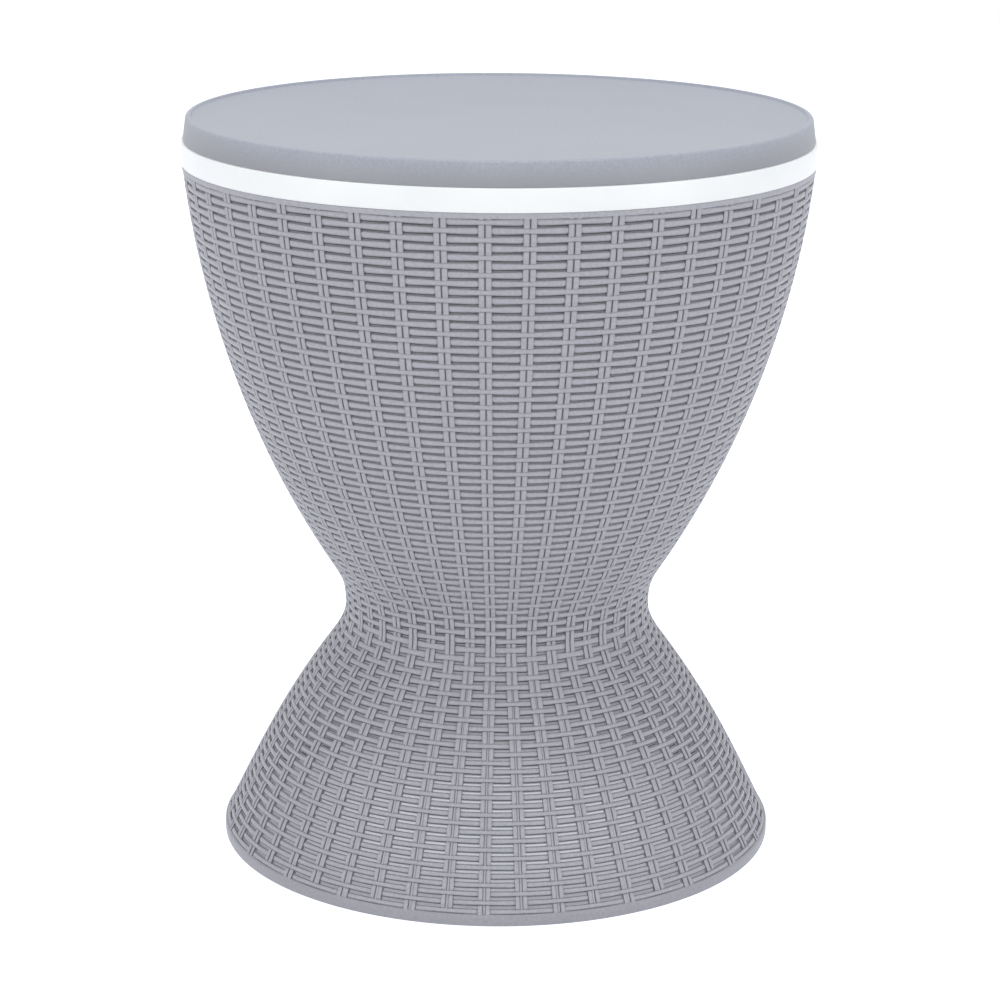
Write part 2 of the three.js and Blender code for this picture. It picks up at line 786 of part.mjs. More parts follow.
function batteryBox() {
  const body = block([-caseWidth / 2, -caseDepth, caseBottom], [caseWidth / 2, 0, 0]);
  const hook = block(
    [-hookWidth / 2, -overrun, carrierBottom - caseTop],
    [hookWidth / 2, caseBackInset + hookReach, carrierBottom - caseTop + hookThickness],
  );
  const cellRoom = block(
    [-caseInnerWidth / 2, -caseDepth - overrun, cellRoomBottom],
    [caseInnerWidth / 2, -caseWall, cellRoomTop],
  );
  const switchPocket = block(
    [-switchWidth / 2 - seatGap, cellRoomMiddle - switchDepth / 2 - seatGap, switchBottom - seatGap],
    [switchWidth / 2 + seatGap, cellRoomMiddle + switchDepth / 2 + seatGap, overrun],
  );
  return shape(body, [hook], [cellRoom, switchPocket]);
}

function batteryDoor() {
  const inner = -caseDepth - seatGap;
  const plate = block(
    [-caseWidth / 2, inner - doorThickness, caseBottom],
    [caseWidth / 2, inner, cellRoomTop + caseWall],
  );
  const gripLow = cellRoomTop - doorGripHeight;
  const grip = block(
    [-doorGripWidth / 2, inner - doorThickness - doorGripReach, gripLow],
    [doorGripWidth / 2, inner - doorThickness / 2, cellRoomTop],
  );
  return shape(plate, [grip], []);
}

// A cell lies along X with its tip towards +X.
function batteryCell() {
  const half = cellLength / 2;
  return turned([
    at(0, -half - cellTipLength / 2),
    at(cellRadius, -half - cellTipLength / 2),
    at(cellRadius, half - cellTipLength / 2),
    at(cellTipRadius, half - cellTipLength / 2),
    at(cellTipRadius, half + cellTipLength / 2),
    at(0, half + cellTipLength / 2),
  ], smallSides, true).rotateY(Math.PI / 2);
}

function contactStrip() {
  const height = caseInnerHeight - 2 * contactMargin;
  const depth = caseInnerDepth - 2 * contactMargin;
  return new THREE.BoxGeometry(contactThickness, depth, height);
}

function switchBody() {
  const body = block(
    [-switchWidth / 2, -switchDepth / 2, switchBottom],
    [switchWidth / 2, switchDepth / 2, switchTop],
  );
  return shape(body, [], [rod(switchBore, switchBottom + caseWall, switchTop + overrun, smallSides)]);
}

function switchButton() {
  const stem = switchBore - slideGap;
  const stemBottom = switchBottom + caseWall + stopGap + buttonTravel;
  return turned([
    at(0, stemBottom),
    at(stem, stemBottom),
    at(stem, buttonBottom),
    at(buttonRadius, buttonBottom),
    at(buttonRadius, buttonProud - buttonEdge),
    at(buttonRadius - buttonEdge, buttonProud),
    at(0, buttonProud),
  ], smallSides, true);
}

function ledLead() {
  const start = caseBack + caseBackInset + hookReach + seatGap;
  const end = stripInnerRadius - seatGap;
  const middle = carrierBottom + hookThickness / 2;
  const geometry = new THREE.CylinderGeometry(leadRadius, leadRadius, end - start, screwSides);
  return geometry.translate(0, (start + end) / 2, middle);
}

// Scene graph

function piece(name, geometry, material, x = 0, y = 0, z = 0) {
  const mesh = new THREE.Mesh(geometry, material);
  mesh.name = name;
  mesh.position.set(x, y, z);
  return mesh;
}

// Screws on a circle, with their heads' seats at one height, pointing up or down to where they end
function screwRing(name, [count, circle], seat, end) {
  return round(count).map((angle, i) => {
    const mesh = piece(name + "_" + (i + 1), screw(Math.abs(end - seat)), steel(),
      circle * Math.cos(angle), circle * Math.sin(angle), seat);
    mesh.rotation.x = end < seat ? Math.PI : 0;
    return mesh;
  });
}

function standGroup() {
  const group = new THREE.Group();
  group.add(
    piece("skirt_shell", skirtShell(), wovenResin()),
    piece("bowl_shell", bowlShell(), wovenResin()),
    piece("waist_hub", waistHub(), plainResin()),
    piece("guide_tube", guideTube(), plainResin()),
    piece("top_bush", topBush(), darkResin()),
    ...screwRing("waist_screw", waistScrews, skirtFlangeBottom - seatGap,
      hubTop + waistBossHeight - 2 * bossFloor),
    ...screwRing("hub_screw", hubScrews, hubBottom - seatGap,
      tubeBottom + tubeBossHeight - 2 * bossFloor),
  );
  return group;
}

function coolerGroup() {
  const group = new THREE.Group();
  const drain = new THREE.Group();
  drain.position.set(drainCircle * Math.cos(drainAngle), drainCircle * Math.sin(drainAngle), bucketFloorTop);
  drain.add(
    piece("drain_seal", drainSeal(), seal()),
    piece("drain_plug", drainPlug(), darkResin()),
  );
  group.add(piece("ice_bucket", iceBucket(), bucketResin()), drain);
  return group;
}

function lightGroup() {
  const group = new THREE.Group();
  group.add(
    piece("light_ring", lightRing(), lightWhite()),
    piece("led_carrier", ledCarrier(), stripWhite()),
    piece("led_strip", ledStrip(), stripWhite()),
    piece("led_lead", ledLead(), seal()),
    ...screwRing("rim_screw", rimScrews, carrierFlangeTop + seatGap,
      ledgeBottom - rimBossHeight + 2 * bossFloor),
  );
  return group;
}

function batteryGroup() {
  const group = new THREE.Group();
  group.position.set(0, caseBack, caseTop);
  const contactX = caseInnerWidth / 2 - seatGap - contactThickness / 2;
  const contactZ = (cellRoomTop + cellRoomBottom) / 2;
  group.add(
    piece("battery_box", batteryBox(), plainResin()),
    piece("battery_door", batteryDoor(), plainResin()),
    piece("contact_left", contactStrip(), contactMetal(), -contactX, cellRoomMiddle, contactZ),
    piece("contact_right", contactStrip(), contactMetal(), contactX, cellRoomMiddle, contactZ),
    piece("switch_body", switchBody(), darkResin(), 0, cellRoomMiddle, 0),
    piece("switch_button", switchButton(), seal(), 0, cellRoomMiddle, 0),
  );
  for (let i = 0; i < cellCount; i += 1) {
    const height = cellRoomBottom + cellSpare + cellRadius + i * cellPitch;
    const cell = piece("battery_cell_" + (i + 1), batteryCell(), cellWrap(), 0, cellRoomMiddle, height);
    cell.rotation.z = i % 2 ? Math.PI : 0;
    group.add(cell);
  }
  return group;
}

function lidGroup() {
  const group = new THREE.Group();
  group.add(
    piece("lid_top", lidTopShell(), lidResin()),
    piece("lid_base", lidBase(), lidResin()),
    piece("lid_insulation", lidFoam(), foam()),
    piece("lift_post", liftPost(), plainResin()),
    piece("post_cap", postCap(), darkResin()),
    piece("glide_shoe", glideShoe(), darkResin()),
    piece("post_flange", postFlange(), plainResin()),
    piece("post_pin", postPin(), steel()),
    ...screwRing("lid_screw", lidScrews, lidBottom - seatGap, lidSkinBottom - 2 * bossFloor),
    ...screwRing("flange_screw", flangeScrews, postFlangeBottom - seatGap,
      lidBaseTop + flangeBossHeight - 2 * bossFloor),
  );
  return group;
}

const table = new THREE.Group();
table.add(standGroup(), coolerGroup(), lightGroup(), batteryGroup(), lidGroup());

export default table;
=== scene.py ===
"""Looks of the ice bucket coffee table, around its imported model.

Metres, +Z up, the front towards -Y. The two woven mouldings are modelled as flat weave, with x in columns
round the table, y in rows up it and z in metres off its outline, and are then wrapped round the table.
"""

import json
import math

import bpy
import numpy as np
from mathutils import Matrix, Vector

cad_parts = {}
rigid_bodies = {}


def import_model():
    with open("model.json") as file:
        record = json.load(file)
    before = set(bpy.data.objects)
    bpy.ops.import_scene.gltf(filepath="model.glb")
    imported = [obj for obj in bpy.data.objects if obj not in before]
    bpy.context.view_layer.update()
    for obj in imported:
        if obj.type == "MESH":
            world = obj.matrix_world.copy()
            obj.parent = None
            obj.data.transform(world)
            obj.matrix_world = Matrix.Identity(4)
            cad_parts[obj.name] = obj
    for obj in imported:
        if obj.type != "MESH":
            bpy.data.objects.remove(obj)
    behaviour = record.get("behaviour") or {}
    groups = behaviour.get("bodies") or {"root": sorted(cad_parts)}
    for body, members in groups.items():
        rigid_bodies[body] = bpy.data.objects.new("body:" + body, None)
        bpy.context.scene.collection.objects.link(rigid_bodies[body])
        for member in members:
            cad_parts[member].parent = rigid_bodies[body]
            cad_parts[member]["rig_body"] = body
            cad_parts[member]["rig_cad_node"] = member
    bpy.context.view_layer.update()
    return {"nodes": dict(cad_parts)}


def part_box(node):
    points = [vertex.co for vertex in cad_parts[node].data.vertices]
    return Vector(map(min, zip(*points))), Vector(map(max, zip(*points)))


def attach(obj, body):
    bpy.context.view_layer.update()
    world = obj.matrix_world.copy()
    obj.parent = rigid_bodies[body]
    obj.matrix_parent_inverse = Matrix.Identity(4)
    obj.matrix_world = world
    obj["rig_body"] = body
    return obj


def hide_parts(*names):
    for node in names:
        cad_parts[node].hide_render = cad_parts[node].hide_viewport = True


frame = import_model()

MM = 0.001
TINY = 0.00002  # points nearer than this become one
EPSILON = 0.00001  # against rounding
NEAR = 0.001  # on the flat weave, in columns and rows

# Camera, at the photograph's viewing angle
CAMERA_PLACE = (0, -2.3096, 0.9158)
CAMERA_PITCH = math.radians(15.47)
CAMERA_YAW = math.radians(0.05)
CAMERA_ROLL = math.radians(0.30)
CAMERA_LENS = 105.9
SENSOR = 36

# Outlines as shares of the way from the waist to the rim or to the hoop: radius, height
BOWL_FILLET = ((0, 0), (0.004, 0.079), (0.055, 0.076), (0.238, 0.188))
BOWL_FLARE = ((0.238, 0.188), (0.8035, 0.527), (0.958, 0.855), (1, 1))
SKIRT_FILLET = ((0, 0), (0, 0.0803), (0.1134, 0.161), (0.167, 0.201))
SKIRT_SIDE = ((0.167, 0.201), (0.597, 0.5235), (0.783, 0.765), (1, 1))
OUTLINE_STEPS = 160
WAIST_RADIUS = 124.1 * MM
RIM_RADIUS = 249.3 * MM
RIM_STRIP = 2.8 * MM
RIM_STRIP_STEP = 0.4 * MM
LEDGE_INNER = 226 * MM
LEDGE_THICKNESS = 4 * MM
BOSS_RADIUS = 5 * MM
BOSS_FOOT_RADIUS = 4.6 * MM
BOSS_LENGTH = 9 * MM
BOSS_SIDES = 32
BOSS_EDGE = 0.4 * MM
FLANGE_INNER = 96 * MM
FLANGE_OUTER = 121 * MM
FLANGE_THICKNESS = 4 * MM
BASE_RADIUS = 225.7 * MM
HOOP_HEIGHT = 9 * MM
HOOP_STEP = 1.1 * MM
HOOP_THICKNESS = 6.5 * MM
HOOP_SHADE = 0.16

# Weave: 48 columns of paired stakes, and strands that pass over one pair and under the next
COLUMNS = 48
COLUMN_ANGLE = 2 * math.pi / COLUMNS
FIRST_COLUMN = math.radians(5.2)
BOWL_ROWS = 58
BOWL_PITCH = 6.636 * MM
SKIRT_ROWS = 31
SKIRT_PITCH = 6.73 * MM
WAIST_PITCH = 7.25 * MM
WAIST_PITCH_ROWS = 4
SEAM_TO_ROW = 3.5 * MM
SEAM_GAP = 0.05 * MM
OVER_LAST_ROW = 0.6  # how far the bowl's stakes run on past their last row, in rows
UNDER_FIRST_ROW = 0.35  # how far the skirt's stakes run down past their first row, in rows
WALL = 3.6 * MM
STEP_DEPTH = 2.2 * MM  # from the crests to the lattice that carries strands and stakes
FOOT = 0.1 * MM
# Along a strand from where it lies on top, in columns: its width and its height there, as shares
BOWL_STRAND = ((0, 0.72, 1), (0.2, 0.82, 0.98), (0.5, 0.95, 0.94), (0.74, 1, 0.87), (0.81, 0.85, 0.5),
    (1, 0.75, 0.2))
SKIRT_STRAND = ((0, 0.86, 1), (0.24, 0.9, 0.98), (0.5, 0.96, 0.93), (0.72, 1, 0.85), (0.79, 0.85, 0.45),
    (1, 0.8, 0.2))
# Along a stake from where a strand covers it, in rows: its width and its height there, as shares
STAKE_SHAPE = ((0, 0.8, 0.2), (0.24, 0.8, 0.3), (0.31, 0.94, 0.78), (0.43, 1, 0.97), (1, 1, 1))
# Widths in rows by height: of the strands and of the lattice under them
STRAND_WIDTHS = ((0, 0.56), (0.1, 0.58), (0.14, 0.62), (0.17, 0.68), (0.19, 0.7), (0.22, 0.72), (0.34, 0.73),
    (0.42, 0.78), (0.56, 0.78))
LATTICE_WIDTHS = ((0, 0.79), (0.09, 0.8), (0.13, 0.93), (0.15, 0.97), (0.56, 0.98))
STAKE_ZONE = 0.2  # half the width of a pair of stakes as drawn, in columns
# Half widths of a pair of stakes, in millimetres by height
STAKE_HALF_WIDTHS = ((0, 4.7), (0.15, 4.6), (0.18, 4.2), (0.192, 3.95), (0.25, 4.2), (0.4, 4.7), (0.56, 4.85))
GROOVE = 0.2  # between two stakes, as a share of the pair's width as drawn
# The same share on the table, by height
GROOVE_WIDTHS = ((0, 0.25), (0.1, 0.22), (0.15, 0.15), (0.19, 0.08), (0.56, 0.08))
GROOVE_DEPTH = 1.4 * MM
WEAVE_SHARP_ANGLE = math.radians(60)

# Round pieces
ROUND_SIDES = 192
SOFT_EDGE = 0.5 * MM
SHARP_ANGLE = math.radians(32)
FLAT_ANGLE = math.radians(0.5)
DRESSED_EDGE = 0.3 * MM

# Light ring and lid
SHOWN_EDGE = 0.6 * MM
SHOWN_EDGE_SEGMENTS = 3
RING_INNER = 231 * MM
RING_WALL = 2.5 * MM
RING_TOP = 2 * MM
LID_WALL = 3 * MM
LID_FLARE = 2.6 * MM
LIP_WIDTH = 4.6 * MM
LIP_HEIGHT = 2 * MM
LIP_LEAN = 0.8 * MM
LIP_EDGE = 1.6 * MM
LIP_BULGE = 0.2 * MM
# Painted shade on the lid's side, darker towards its foot
LID_SHADE = 1.2  # at the foot of the lid's side, before it is held to 1

# Screws
SCREW_SIDES = 20
SCREW_HEAD = 2.6 * MM
SCREW_DOME = ((2.4 * MM, 1), (3.4 * MM, 0.85), (3.9 * MM, 0.5), (4 * MM, 0))  # radius, share of the head
SCREW_CORE = 1.6 * MM
SCREW_CREST = 2 * MM
SCREW_TIP = 0.5 * MM
TIP_LENGTH = 2 * MM
THREAD_START = 0.5 * MM
THREAD_PITCH = 1 * MM
RECESS_LENGTH = 4.4 * MM
RECESS_WIDTH = 1.1 * MM
RECESS_DEPTH = 1.3 * MM

# Battery cells
CELL_SIDES = 48
NUB_HEIGHT = 1.6 * MM
# In millimetres: in from the radius, and up from the minus end or down from the shoulder
CELL_FOOT = ((1.6, 0), (0.5, 0.2), (0, 0.9))
CELL_SHOULDER = ((0, 1.1), (0.7, 0.2), (2, 0))
# In millimetres: radius, and down from the plus end
CELL_NUB = ((2.7, 1.6), (2.4, 0.3), (1.8, 0))

# Finishes
PATCH_SHARE = 0.2  # of the patches in the tone of moulded resin, where the grain makes up the rest
GLOSS_SPREAD = 0.06
RING_GLOW = 0.16
STRIP_GLOW = 0.3

# Floor, world and lamps
FLOOR_SIZE = 12
FLOOR_DROP = 0.0002
FLOOR_COLOUR = (0.92, 0.92, 0.92, 1)
FLOOR_TINT = (0.95, 0.98, 1.09)
# Glow of the floor by distance from the middle of the table, in metres: less under the table, as a painted
# shadow
FLOOR_GLOW = ((0, 0.56), (0.09, 0.54), (0.14, 0.42), (0.17, 0.32), (0.219, 0.24), (0.2195, 0.76))
WHITE = (1, 1, 1)
WORLD_COLOUR = (0.97, 0.98, 1, 1)
WORLD_STRENGTH = 0.48
LAMP_AIM = (0, 0, 0.35)
# Place, size, power and colour
SOFTBOXES = {
    "softbox_top": ((0, -0.4, 2.6), 2.4, 23, (0.96, 0.98, 1)),
    "softbox_left": ((-2.2, -1.5, 0.6), 1.4, 9.5, WHITE),
    "softbox_right": ((2.2, -1.5, 0.6), 1.4, 9.5, WHITE),
    "softbox_front": ((0, -3.4, 0.9), 1.8, 5, WHITE),
}


def srgb(red, green, blue):
    """A colour on the 0 to 255 scale of a picture, in linear light."""
    def linear(value):
        value /= 255
        return value / 12.92 if value <= 0.04045 else ((value + 0.055) / 1.055) ** 2.4
    return (linear(red), linear(green), linear(blue), 1)


# Shader nodes


class Number:
    """A number that comes out of a node. Sums on it add Math nodes."""

    def __init__(self, nodes, socket):
        self.nodes = nodes
        self.socket = socket

    def sum(self, operation, left, right):
        node = self.nodes.node("ShaderNodeMath", {"operation": operation}, {0: left, 1: right})
        return Number(self.nodes, node.outputs[0])

    def __add__(self, other):
        return self.sum("ADD", self, other)

    def __radd__(self, other):
        return self.sum("ADD", other, self)

    def __mul__(self, other):
        return self.sum("MULTIPLY", self, other)

    def __rmul__(self, other):
        return self.sum("MULTIPLY", other, self)

    def or_larger(self, other):
        return self.sum("MAXIMUM", self, other)


class Nodes:
    """The nodes of a material or of the world."""

    def __init__(self, tree):
        self.tree = tree

    def node(self, kind, settings=None, inputs=None):
        """Adds a node, with its settings first and then the values or links of its sockets."""
        node = self.tree.nodes.new(kind)
        for name, value in (settings or {}).items():
            if name == "stops":
                self.set_stops(node.color_ramp, value)
            else:
                setattr(node, name, value)
        for name, value in (inputs or {}).items():
            self.feed(node.inputs[name], value)
        return node

    def set_stops(self, ramp, stops):
        """Gives a ramp its stops: a position, and a level or a whole colour."""
        while len(ramp.elements) < len(stops):
            ramp.elements.new(1)
        for element, (position, level) in zip(ramp.elements, stops):
            element.position = position
            element.color = level if isinstance(level, tuple) else (level, level, level, 1)

    def feed(self, socket, value):
        if isinstance(value, Number):
            value = value.socket
        if isinstance(value, bpy.types.NodeSocket):
            self.tree.links.new(value, socket)
        else:
            socket.default_value = value


class Finish(Nodes):
    """A material, and the nodes that make it."""

    def __init__(self, name, roughness, metallic=0):
        self.material = bpy.data.materials.new(name)
        self.material.use_nodes = True
        super().__init__(self.material.node_tree)
        self.shader = self.tree.nodes["Principled BSDF"]
        self.give("Roughness", roughness)
        self.give("Metallic", metallic)
        self.place = self.node("ShaderNodeTexCoord").outputs["Object"]

    def give(self, name, value):
        """Sets or feeds a socket of the material's own shader."""
        self.feed(self.shader.inputs[name], value)

    def noise(self, scale, detail=2, stretch=None):
        place = self.place
        if stretch:
            mapping = self.node("ShaderNodeMapping", None, {"Vector": place, "Scale": stretch})
            place = mapping.outputs["Vector"]
        node = self.node("ShaderNodeTexNoise", None, {"Vector": place, "Scale": scale, "Detail": detail})
        return Number(self, node.outputs[0])

    def steps(self, value, stops):
        node = self.node("ShaderNodeValToRGB", {"stops": stops}, {"Fac": value})
        return Number(self, node.outputs["Color"])

    def between(self, first, second, share):
        node = self.node("ShaderNodeMix", {"data_type": "RGBA"}, {0: share, 6: first, 7: second})
        return node.outputs[2]

    def attribute(self, name):
        node = self.node("ShaderNodeAttribute", {"attribute_name": name})
        return Number(self, node.outputs["Fac"])

    def bump(self, height, distance):
        node = self.node("ShaderNodeBump", None, {"Height": height, "Distance": distance, "Strength": 1})
        self.give("Normal", node.outputs["Normal"])


def tinted(colour, share):
    """The colour made darker or lighter by a share."""
    return tuple(min(part * share, 1) for part in colour[:3]) + (1,)


def moulded(name, colour, roughness, spread=0.05, grain=1100, relief=0.2, coat=0, edge=None, back=None):
    """Injection-moulded resin: faint patches of tone, and a fine grain in its colour, gloss and surface, with
    its relief in millimetres. A marked piece also gets painted light, a lighter tone where light would come
    through it, and painted shade, a darker tone where shade would gather."""
    finish = Finish(name, roughness)
    patches = finish.noise(14, detail=3)
    specks = finish.noise(grain)
    share = patches * PATCH_SHARE + specks * (1 - PATCH_SHARE)
    contrast = finish.steps(share, ((0.3, 0), (0.7, 1)))
    colours = finish.between(tinted(colour, 1 - spread), tinted(colour, 1 + spread), contrast)
    # Painted light: a lighter tone where light would come through the weave from behind
    if back:
        colours = finish.between(colours, back, finish.attribute("back"))
    # Painted shade: a darker tone under strands, in grooves, on the hoop and down the lid's side
    if edge:
        colours = finish.between(colours, edge, finish.attribute("edge"))
    finish.give("Base Color", colours)
    finish.give("Roughness", roughness - GLOSS_SPREAD + specks * (2 * GLOSS_SPREAD))
    finish.give("Coat Weight", coat)
    finish.bump(specks, relief * MM)
    return finish.material


def lit_diffuser():
    """Milky resin with lights behind it, seen as a soft even glow."""
    finish = Finish("light_diffuser", 0.35)
    clouds = finish.noise(30)
    finish.give("Base Color", finish.between(srgb(240, 244, 246), srgb(252, 253, 253), clouds))
    finish.give("Emission Color", finish.between(srgb(236, 244, 248), srgb(250, 253, 255), clouds))
    finish.give("Emission Strength", RING_GLOW)
    finish.bump(finish.noise(900, detail=1), 0.05 * MM)
    return finish.material


def zinc_steel():
    """Zinc plated steel, with fine spangle and turning marks."""
    finish = Finish("zinc_steel", 0.32, metallic=1)
    spangle = finish.noise(500)
    marks = finish.noise(700, stretch=(1, 1, 0.08))
    finish.give("Base Color", finish.between(srgb(158, 161, 166), srgb(205, 207, 210), spangle))
    finish.give("Roughness", 0.24 + marks * 0.2)
    finish.bump(marks, 0.05 * MM)
    return finish.material


def nickel():
    """Nickel plated spring strip, brushed along its length."""
    finish = Finish("nickel", 0.25, metallic=1)
    marks = finish.noise(900, stretch=(1, 0.05, 1))
    finish.give("Base Color", finish.between(srgb(190, 184, 172), srgb(222, 217, 206), marks))
    finish.give("Roughness", 0.18 + marks * 0.2)
    finish.bump(marks, 0.03 * MM)
    return finish.material


def foam_beads():
    """Expanded foam: small pressed beads with fine seams between them."""
    finish = Finish("foam_beads", 0.85)
    cells = finish.node("ShaderNodeTexVoronoi", {"feature": "DISTANCE_TO_EDGE"},
        {"Vector": finish.place, "Scale": 320})
    seams = finish.steps(Number(finish, cells.outputs["Distance"]), ((0, 0), (0.12, 1)))
    finish.give("Base Color", finish.between(srgb(222, 222, 216), srgb(246, 246, 242), seams))
    finish.bump(seams, 0.3 * MM)
    return finish.material


def cell_sleeve():
    """Plain sleeve of a battery cell, with a bare metal band at each end, 22 mm from the cell's middle."""
    finish = Finish("cell_sleeve", 0.3)
    along = finish.node("ShaderNodeSeparateXYZ", None, {0: finish.place})
    end = finish.node("ShaderNodeMath", {"operation": "ABSOLUTE"}, {0: along.outputs[0]})
    band = finish.steps(Number(finish, end.outputs[0]) * 30, ((0.66, 0), (0.67, 1)))
    sheen = finish.noise(60)
    sleeve = finish.between(srgb(40, 66, 84), srgb(56, 86, 106), sheen)
    finish.give("Base Color", finish.between(sleeve, srgb(196, 198, 200), band))
    finish.give("Metallic", band)
    finish.bump(sheen, 0.05 * MM)
    return finish.material


def light_strip():
    """White film of the light strip."""
    finish = Finish("light_strip", 0.5)
    film = finish.noise(240)
    colours = finish.between(srgb(226, 226, 214), srgb(240, 240, 232), film)
    finish.give("Base Color", colours)
    finish.give("Emission Color", colours)
    finish.give("Emission Strength", STRIP_GLOW)
    finish.bump(film, 0.05 * MM)
    return finish.material


FINISHES = {
    # woven_resin: painted shade in dark grey, and painted light in near white
    "woven_resin": moulded("woven_resin", srgb(186, 186, 194), 0.46, spread=0.1, grain=450, relief=0.12,
        edge=srgb(72, 72, 76), back=srgb(244, 244, 250)),
    # lid_resin: painted shade on the lid's side
    "lid_resin": moulded("lid_resin", srgb(178, 183, 195), 0.46, spread=0.1, grain=450, relief=0.04,
        edge=srgb(162, 162, 168)),
    "plain_resin": moulded("plain_resin", srgb(172, 173, 180), 0.5),
    "dark_resin": moulded("dark_resin", srgb(92, 94, 99), 0.45),
    "white_resin": moulded("white_resin", srgb(232, 232, 226), 0.55, spread=0.03),
    "bucket_resin": moulded("bucket_resin", srgb(198, 200, 204), 0.3, spread=0.03, grain=700, relief=0.06,
        coat=0.25),
    "light_diffuser": lit_diffuser(),
    "led_strip": light_strip(),
    "lid_foam": foam_beads(),
    "screw_steel": zinc_steel(),
    "contact_metal": nickel(),
    "cell_wrap": cell_sleeve(),
    "seal_rubber": moulded("seal_rubber", srgb(52, 53, 56), 0.75, spread=0.12, grain=600),
}


# Modelling


def only(piece):
    bpy.ops.object.select_all(action="DESELECT")
    piece.select_set(True)
    bpy.context.view_layer.objects.active = piece


def edit(piece):
    only(piece)
    bpy.ops.object.mode_set(mode="EDIT")
    bpy.ops.mesh.select_all(action="SELECT")


def leave_edit():
    bpy.ops.object.mode_set(mode="OBJECT")


def settled(piece, name):
    """Gives the new piece its name, and puts its place into its mesh."""
    piece.name = name
    piece.data.name = name
    only(piece)
    bpy.ops.object.transform_apply(location=True, rotation=True, scale=True)
    return piece


def closed(piece):
    """Joins doubled points and turns every face outwards."""
    edit(piece)
    bpy.ops.mesh.remove_doubles(threshold=TINY)
    bpy.ops.mesh.normals_make_consistent(inside=False)
    leave_edit()
    return piece


def modified(piece, kind, **settings):
    """Adds a modifier and applies it."""
    only(piece)
    modifier = piece.modifiers.new(kind.lower(), kind)
    for name, value in settings.items():
        setattr(modifier, name, value)
    bpy.ops.object.modifier_apply(modifier=modifier.name)


def smooth(piece, angle=SHARP_ANGLE):
    only(piece)
    bpy.ops.object.shade_smooth_by_angle(angle=angle)


def softened(piece, width=SOFT_EDGE, segments=2):
    """Rounds the sharp edges, then shades the piece smooth."""
    modified(piece, "BEVEL", width=width, segments=segments, limit_method="ANGLE", angle_limit=SHARP_ANGLE)
    smooth(piece)


def repeated(piece, count, offset):
    modified(piece, "ARRAY", count=count, use_relative_offset=False, use_constant_offset=True,
        constant_offset_displace=offset)


def copied(piece, name):
    """A copy with its own mesh."""
    copy = piece.copy()
    copy.data = piece.data.copy()
    copy.name = name
    copy.data.name = name
    bpy.context.scene.collection.objects.link(copy)
    return copy


def extruded(shift, scale):
    """Extrudes what is selected, then scales and moves it."""
    bpy.ops.mesh.extrude_region()
    bpy.ops.transform.resize(value=scale, center_override=(0, 0, 0))
    bpy.ops.transform.translate(value=shift)


def turned(name, profile, filled=False, sides=ROUND_SIDES):
    """A round piece: a circle extruded through the radii and heights of its profile, which ends where it
    starts unless the piece is filled at both ends."""
    radius, height = profile[0]
    bpy.ops.object.select_all(action="DESELECT")
    bpy.ops.mesh.primitive_circle_add(vertices=sides, radius=radius, location=(0, 0, height),
        fill_type="NGON" if filled else "NOTHING")
    piece = settled(bpy.context.object, name)
    edit(piece)
    for next_radius, next_height in profile[1:]:
        share = next_radius / radius
        extruded((0, 0, next_height - height), (share, share, 1))
        radius, height = next_radius, next_height
    leave_edit()
    return closed(piece)


def drawn(name, section, stations, filled):
    """A strand or stake: its section, as a loop of points, extruded through stations, which are places
    with the width there."""
    bpy.ops.object.select_all(action="DESELECT")
    bpy.ops.mesh.primitive_circle_add(vertices=len(section), radius=1,
        fill_type="NGON" if filled else "NOTHING")
    piece = settled(bpy.context.object, name)
    place, width = Vector(stations[0][0]), stations[0][1]
    for vertex, point in zip(piece.data.vertices, section):
        vertex.co = Vector((point[0], point[1] * width, point[2])) + place
    edit(piece)
    for next_place, next_width in stations[1:]:
        extruded(Vector(next_place) - place, (1, next_width / width, 1))
        place, width = Vector(next_place), next_width
    leave_edit()
    return piece


def marked(piece, name, values):
    """Notes values on the points of a piece, for its finish: how much painted shade or painted light its
    colour gets there. The values of one section are repeated for all of them."""
    values = values * (len(piece.data.vertices) // len(values))
    piece.data.attributes.new(name, "FLOAT", "POINT").data.foreach_set("value", values)


def reshaped(piece, chosen, scale, centre):
    """Scales the chosen points about a centre."""
    edit(piece)
    bpy.ops.mesh.select_mode(type="VERT")
    bpy.ops.mesh.select_all(action="DESELECT")
    leave_edit()
    for vertex in piece.data.vertices:
        vertex.select = chosen(vertex.co)
    bpy.ops.object.mode_set(mode="EDIT")
    bpy.ops.transform.resize(value=scale, center_override=centre)
    leave_edit()


def finished(piece, slot, body, *nodes):
    """Gives a new piece its finish and its body, and hides the nodes that it stands for."""
    piece.data.materials.clear()
    piece.data.materials.append(FINISHES[slot])
    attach(piece, body)
    if nodes:
        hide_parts(*nodes)


# Outlines, as the length along them, the points there and the outward normals there


def bezier(points):
    share = np.linspace(0, 1, OUTLINE_STEPS + 1)[:, None]
    first, second, third, last = (np.array(point, float) for point in points)
    return ((1 - share) ** 3 * first + 3 * share * (1 - share) ** 2 * second
        + 3 * share ** 2 * (1 - share) * third + share ** 3 * last)


def outline(curves, start, end):
    shares = np.vstack([bezier(curves[0])] + [bezier(curve)[1:] for curve in curves[1:]])
    points = np.array(start) + shares * (np.array(end) - np.array(start))
    if points[0, 1] > points[-1, 1]:
        points = points[::-1]
    steps = np.hypot(*np.diff(points, axis=0).T)
    along = np.concatenate([[0], np.cumsum(steps)])
    tangents = np.gradient(points, along, axis=0)
    tangents /= np.hypot(*tangents.T)[:, None]
    normals = np.column_stack([tangents[:, 1], -tangents[:, 0]])
    return along, points, normals


